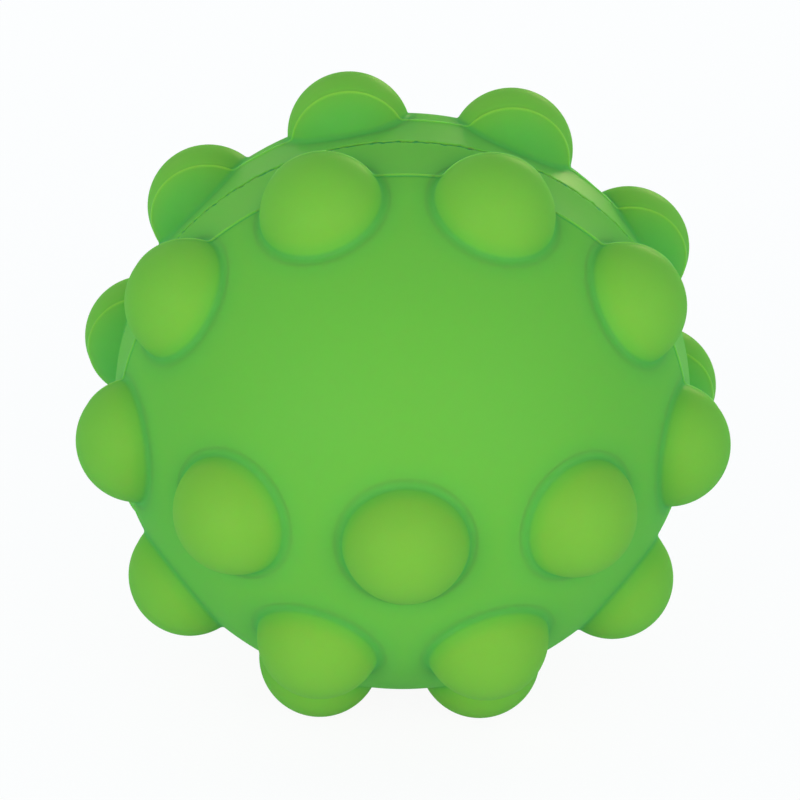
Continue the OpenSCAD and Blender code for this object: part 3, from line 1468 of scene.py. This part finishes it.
@dataclass
class HalfBall:
    """One half of the ball: its skin and its bumps.

    Fields:
        side: Which half it is.
        sizes: The ball's sizes.
        line: The mould line.
        bump_wall: Thickness of a bump's wall.
        fold_end: Distance from the ball's centre, beyond the crown's tip, at which a pressed bump would follow the
        finger fully. It is not used.
    """

    side: HalfSide
    sizes: BallSizes
    line: MouldLine = field(default_factory=MouldLine)
    bump_wall: float = 1.2 * MM
    fold_end: float = 44.8 * MM

    def node(self, name: str) -> str:
        """The name of one of this half's nodes."""
        return f"{self.side.value}_{name}"

    def axes(self) -> np.ndarray:
        """The half's own frame: its side, its top and its pole.

        The top lies midway between the first and the last bump of the outer ring, and the side points
        from the last to the first.

        Returns:
            Those three as the columns of a matrix, in the frame of the whole ball.
        """
        pole = outward_axis(self.node("bump_pole"))
        first, last = outward_axis(self.node("bump_outer_1")), outward_axis(self.node("bump_outer_10"))
        side = unit(first - last)
        return np.stack([side, np.cross(pole, side), pole], axis=1)

    def seats(self, axes: np.ndarray) -> tuple[BumpSeat, ...]:
        """The places of this half's bumps, from the joints that press them."""
        names = [j["child"] for j in frame["joints"] if j["child"].startswith(self.side.value)]
        return tuple(BumpSeat(name, outward_axis(name) @ axes, "_outer_" in name) for name in names)

    def build(self, shell: bpy.types.Material, bump: bpy.types.Material) -> None:
        """Makes the half's skin and its bumps, and puts the skin on the ball's body.

        Args:
            shell: The skin's finish.
            bump: The bumps' finish.
        """
        axes = self.axes()
        seats = self.seats(axes)
        profile = BumpProfile(self.sizes)
        bumps = {seat.name: BumpSkin(profile, self.line, seat.lined, float(seat.axis[2])) for seat in seats}
        self.build_skin(HalfSkin(self.sizes, self.line, profile, seats, bumps), axes, shell)
        # The lined bumps share one latitude and so one surface. The others differ in their heights alone.
        made: dict[bool, Surface] = {}
        for seat in seats:
            if seat.lined not in made:
                made[seat.lined] = bumps[seat.name].build()
            own = made[seat.lined] if seat.lined else self.own_heights(made[False], bumps[seat.name])
            self.build_bump(own, seat, profile, axes, bump)

    def own_heights(self, surface: Surface, bump: BumpSkin) -> Surface:
        """The surface with its heights above the seam worked out for one bump's latitude."""
        return replace(surface, seam_mm=bump.seam_height(surface.points) / MM)

    def build_skin(self, skin: HalfSkin, axes: np.ndarray, finish: bpy.types.Material) -> None:
        """Makes the half's skin as a closed wall that stands for the half's node.

        Args:
            skin: The skin's shape.
            axes: The half's frame.
            finish: Its finish.
        """
        surface = skin.build()
        points, faces, values, loops = close_with_wall(surface, skin.inside(surface.points))
        piece = put_mesh(self.node("half_skin"), points @ axes.T, faces, values, loops)
        piece.data.materials.append(finish)
        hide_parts(self.node("half"))
        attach(piece, "ball")
        LOG.info("%s: %d triangles", piece.name, len(faces))

    def build_bump(
        self, surface: Surface, seat: BumpSeat, profile: BumpProfile, axes: np.ndarray, finish: bpy.types.Material
    ) -> None:
        """Makes one bump, with a wall on its inner side, in place of the bump's node.

        Args:
            surface: The bump's surface in its own frame.
            seat: Its place.
            profile: Its outline.
            axes: The half's frame.
            finish: Its finish.
        """
        points = surface.points @ (axes @ seat.turn).T
        values = {ROOT_MM: surface.root_mm, SEAM_MM: surface.seam_mm}
        piece = put_mesh(f"{seat.name}_skin", points, surface.triangles, values, surface.loops)
        piece.data.materials.append(finish)
        wall = piece.modifiers.new("wall", "SOLIDIFY")
        wall.thickness = self.bump_wall
        wall.offset = -1.0
        wall.use_quality_normals = True
        root_height = float(profile.at(np.array([profile.root_middle]))[1][0])
        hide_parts(seat.name)
        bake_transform(piece)
        LOG.info("%s: %d triangles", piece.name, len(surface.triangles))


@dataclass
class BondedSeam:
    """The adhesive between the two halves.

    Fields:
        sizes: The ball's sizes.
    """

    sizes: BallSizes

    def build(self, axes: np.ndarray, finish: bpy.types.Material) -> None:
        """Makes the bead, which stands for the bond's node.

        Args:
            axes: The front half's frame.
            finish: The adhesive's finish.
        """
        points, faces = SeamBead(self.sizes).build()
        values = {ROOT_MM: np.full(len(points), FAR_FROM_ROOT), SEAM_MM: points[:, 2] / MM}
        piece = put_mesh("seam_bead", points @ axes.T, faces, values, [])
        piece.data.materials.append(finish)
        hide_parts("seam_bond")
        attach(piece, "ball")
        LOG.info("%s: %d faces", piece.name, len(faces))


# The tints of the lamps, for which the cooler light from all round makes up
SOFT = (0.84, 1.0, 0.92)
GOLD = (1.0, 0.80, 0.42)
AMBER = (1.0, 0.36, 0.24)


@dataclass(frozen=True)
class Lamp:
    """A square softbox that faces the ball.

    Fields:
        name: The lamp's name.
        azimuth, elevation: Where it stands, in degrees, with azimuth 0 in front and 90 on the right.
        distance: From the ball's centre, in metres.
        size: Its side, in metres.
        power: In watts.
        colour: Its tint.
    """

    name: str
    azimuth: float
    elevation: float
    distance: float
    size: float
    power: float
    colour: Rgb

    def build(self) -> None:
        """Puts the lamp in the scene."""
        data = bpy.data.lights.new(self.name, "AREA")
        data.shape = "SQUARE"
        data.size = self.size
        data.energy = self.power
        data.color = self.colour
        lamp = bpy.data.objects.new(self.name, data)
        back = direction(self.azimuth, self.elevation)
        lamp.matrix_world = looking_at_centre(back, back * self.distance, 0.0)
        lamp.visible_camera = False
        bpy.context.scene.collection.objects.link(lamp)


def direction(azimuth: float, elevation: float) -> np.ndarray:
    """The unit vector from the ball towards azimuth and elevation, in degrees, (0, 0) being -Y."""
    a, e = math.radians(azimuth), math.radians(elevation)
    return np.array([math.sin(a) * math.cos(e), -math.cos(a) * math.cos(e), math.sin(e)])


def looking_at_centre(back: np.ndarray, location: np.ndarray, roll: float) -> Matrix:
    """The place of a camera or lamp that looks along -back.

    Args:
        back: Unit vector out of its back.
        location: Where it stands.
        roll: Its turn about its own view, in degrees.

    Returns:
        Its matrix.
    """
    right = unit(np.cross([0.0, 0.0, 1.0], back))
    up = np.cross(back, right)
    c, s = math.cos(math.radians(roll)), math.sin(math.radians(roll))
    turned = np.eye(4)
    turned[:3, 0] = c * right - s * up
    turned[:3, 1] = c * up + s * right
    turned[:3, 2] = back
    turned[:3, 3] = location
    return Matrix(turned.tolist())


@dataclass(frozen=True)
class Studio:
    """The floor, the white surroundings, the lamps and the camera.

    Fields:
        sizes: The ball's sizes.
        azimuth, elevation: Where the camera stands, in degrees, as a lamp does.
        roll: The camera's turn about its own view, in degrees.
        distance: From the camera to what it aims at, in metres.
        aim: The place that it aims at.
        lens: Its focal length, in millimetres.
        film_width: Width of its film, in millimetres.
        nearest, farthest: Where its view begins and ends, in metres.
        ambient: Strength of the even light from all round.
        ambient_tint: Its colour.
        floor_half: Half the side of the floor, in metres.
        floor_squares: Squares along the floor's side.
        lamps: The lamps.
    """

    sizes: BallSizes
    azimuth: float = -1.0647
    elevation: float = 26.4249
    roll: float = -0.9495
    distance: float = 0.57413
    aim: tuple[float, float, float] = (-0.32073 * MM, 0.05484 * MM, 0.09844 * MM)
    lens: float = 206.462
    film_width: float = 36.0
    nearest: float = 0.01
    farthest: float = 100.0
    ambient: float = 0.41
    ambient_tint: Rgb = (0.34, 1.0, 1.55)
    floor_half: float = 3.0
    floor_squares: int = 8
    lamps: tuple[Lamp, ...] = (
        Lamp("left_softbox", -35.0, 17.0, 1.2, 0.8, 6.2, SOFT),
        Lamp("right_softbox", 35.0, 17.0, 1.2, 0.8, 5.7, SOFT),
        Lamp("front_softbox", 0.0, 22.0, 1.2, 0.8, 5.2, AMBER),
        Lamp("back_left_softbox", -140.0, 30.0, 1.1, 0.5, 2.0, GOLD),
        Lamp("back_right_softbox", 140.0, 30.0, 1.1, 0.5, 1.3, GOLD),
        Lamp("low_back_left_softbox", -160.0, 8.0, 1.1, 0.3, 0.6, GOLD),
        Lamp("low_back_right_softbox", 163.0, 7.0, 1.1, 0.3, 5.2, GOLD),
    )

    def build(self) -> None:
        """Puts all of it in the scene."""
        self.build_floor()
        self.build_surroundings()
        for lamp in self.lamps:
            lamp.build()
        self.build_camera()
        bpy.context.scene.view_settings.view_transform = "Standard"

    def build_floor(self) -> None:
        """A flat floor under the ball's lowest points, as a grid of squares."""
        side = self.floor_squares + 1
        steps = np.linspace(-self.floor_half, self.floor_half, side)
        x, y = np.meshgrid(steps, steps, indexing="ij")
        points = np.stack([x, y, np.full_like(x, self.sizes.lowest)], axis=2).reshape(-1, 3)
        squares = np.arange(self.floor_squares)
        corner = (squares[:, None] * side + squares).ravel()
        faces = np.stack([corner, corner + side, corner + side + 1, corner + 1], axis=1)
        floor = put_mesh("floor", points, faces, {}, [])
        floor.data.materials.append(FloorFinish().make())

    def build_surroundings(self) -> None:
        """Even, slightly cool light from all round, seen as white."""
        world = bpy.data.worlds.new("white_surroundings")
        bpy.context.scene.world = world
        w = Wiring.of(world)
        seen = w.seen()
        background = w.node("ShaderNodeBackground")
        w.feed(background.inputs["Color"], w.blend_colour(seen, (*self.ambient_tint, 1.0), (1.0, 1.0, 1.0, 1.0)))
        w.feed(background.inputs["Strength"], w.math("MULTIPLY_ADD", seen, 1 - self.ambient, self.ambient))
        w.feed(w.node("ShaderNodeOutputWorld").inputs["Surface"], background.outputs[0])

    def build_camera(self) -> None:
        """The camera, where the photograph's stood."""
        data = bpy.data.cameras.new("camera")
        data.lens = self.lens
        data.sensor_width = self.film_width
        data.clip_start, data.clip_end = self.nearest, self.farthest
        camera = bpy.data.objects.new("camera", data)
        back = direction(self.azimuth, self.elevation)
        camera.matrix_world = looking_at_centre(back, np.array(self.aim) + back * self.distance, self.roll)
        bpy.context.scene.collection.objects.link(camera)
        bpy.context.scene.camera = camera


def main() -> None:
    logging.basicConfig(level=logging.INFO, format="%(name)s %(message)s")
    sizes = BallSizes.read()
    tone, grain = ToneWithPaintedLight().make(), SatinGrain().make()
    shell, bump, bond = (finish.make(tone, grain) for finish in (SHELL_FINISH, BUMP_FINISH, BOND_FINISH))
    halves = [HalfBall(side, sizes) for side in HalfSide]
    for half in halves:
        half.build(shell, bump)
    BondedSeam(sizes).build(halves[0].axes(), bond)
    Studio(sizes).build()


if __name__ == "__main__":
    main()
